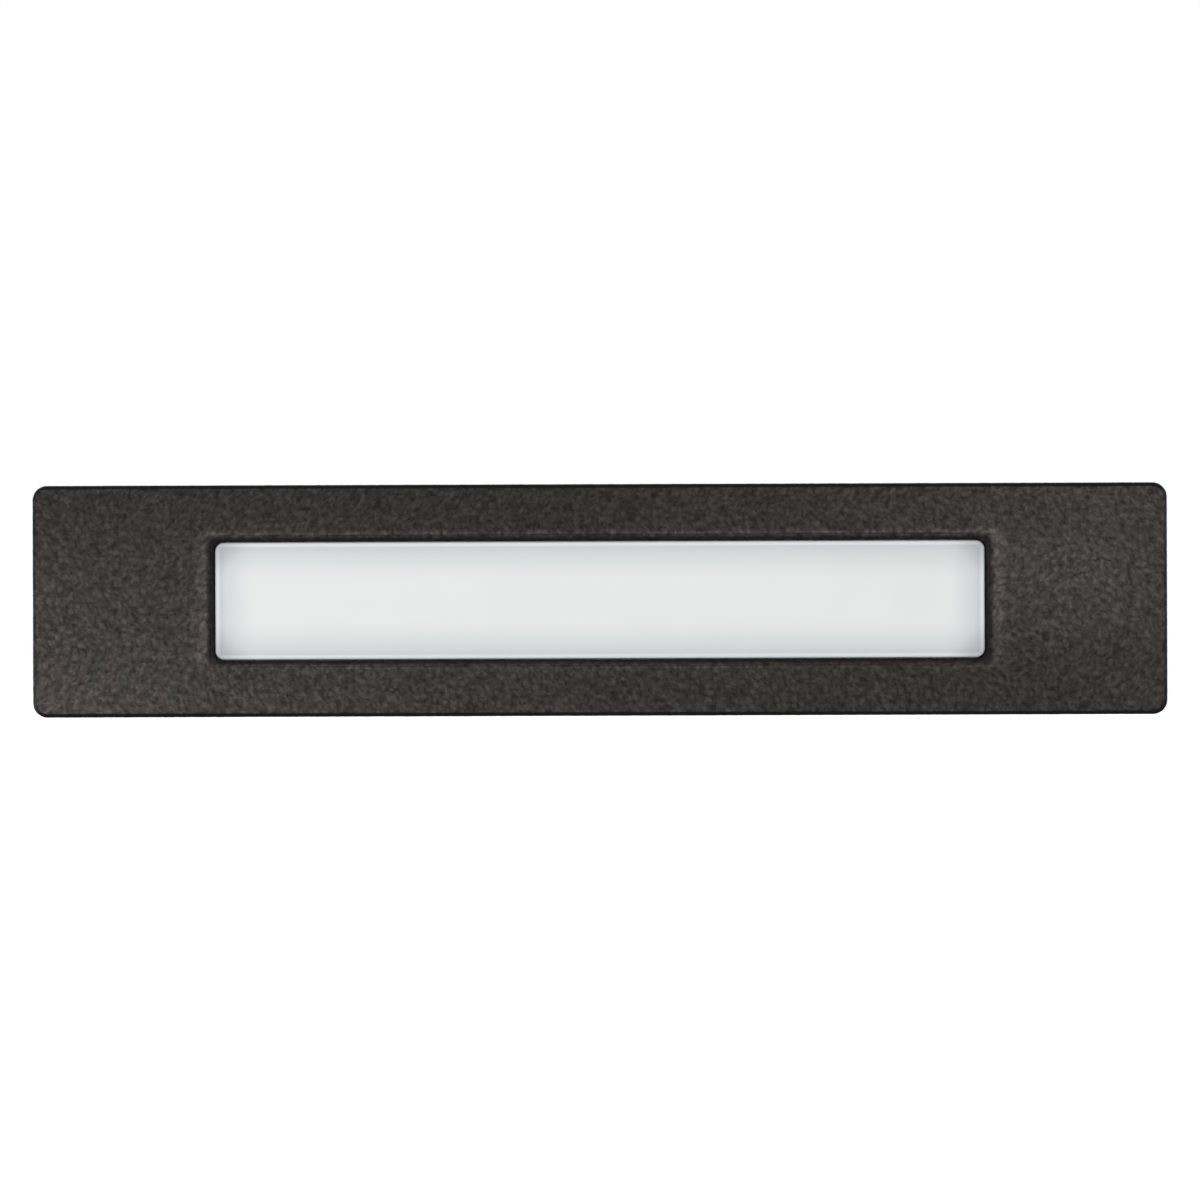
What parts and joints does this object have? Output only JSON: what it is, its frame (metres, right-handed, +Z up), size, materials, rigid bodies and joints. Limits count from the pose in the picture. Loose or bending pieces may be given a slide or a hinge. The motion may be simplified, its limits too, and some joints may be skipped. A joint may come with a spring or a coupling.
{
  "type": "brick light",
  "caption": "Recessed wall light in the shape of a brick: a textured bronze face plate with a long frosted lens, on a cast back box with LED tray, driver and cable gland.",
  "frame": {"origin": "centre of the back box's flange, on the plane that lies on the wall's surface", "axes": "+X along the brick course, to the right as seen from the front; +Y into the wall, so the face looks along -Y; +Z up"},
  "size_m": [0.2794, 0.0967, 0.0572],
  "materials": {
    "bronze_coat": "matte",
    "box_coat": "matte",
    "frosted_lens": "satin",
    "white_silicone": "matte",
    "black_silicone": "matte",
    "stainless_sheet": "satin",
    "steel_screws": "satin",
    "plug_metal": "satin",
    "gland_nylon": "satin",
    "tray_white": "satin",
    "heat_pad": "matte",
    "board_white": "satin",
    "led_phosphor": "satin",
    "ivory_plastic": "satin",
    "driver_plastic": "satin",
    "terminal_brass": "satin",
    "lead_red": "satin",
    "lead_black": "satin",
    "lead_brown": "satin",
    "lead_blue": "satin"
  },
  "bodies": {
    "housing": {"back_box": "box_coat", "plug_seal_left": "black_silicone", "plug_seal_right": "black_silicone", "end_plug_left": "plug_metal", "end_plug_right": "plug_metal", "gland_washer": "black_silicone", "gland_body": "gland_nylon", "gland_seal": "black_silicone", "gland_nut": "gland_nylon", "led_tray": "tray_white", "led_tray_screws": "steel_screws", "thermal_pad": "heat_pad", "led_board": "board_white", "leds": "led_phosphor", "board_connector": "ivory_plastic", "led_board_screws": "steel_screws", "tray_grommet": "black_silicone", "driver_case": "driver_plastic", "driver_screws": "steel_screws", "terminal_block": "ivory_plastic", "terminal_block_screw": "steel_screws", "terminal_clamp_screws": "terminal_brass", "led_lead_red": "lead_red", "led_lead_black": "lead_black", "supply_lead_brown": "lead_brown", "supply_lead_blue": "lead_blue"},
    "face": {"faceplate": "bronze_coat", "lens": "frosted_lens", "lens_gasket": "white_silicone", "lens_frame": "stainless_sheet", "lens_frame_screws": "steel_screws", "face_gasket": "black_silicone", "spring_clip_left": "stainless_sheet", "spring_clip_right": "stainless_sheet", "spring_clip_screws": "steel_screws"}
  },
  "joints": [
    {"name": "faceplate_pull", "type": "slide", "parent": "housing", "child": "face", "axis": [0, -1, 0], "range_m": [0, 0.06]}
  ]
}
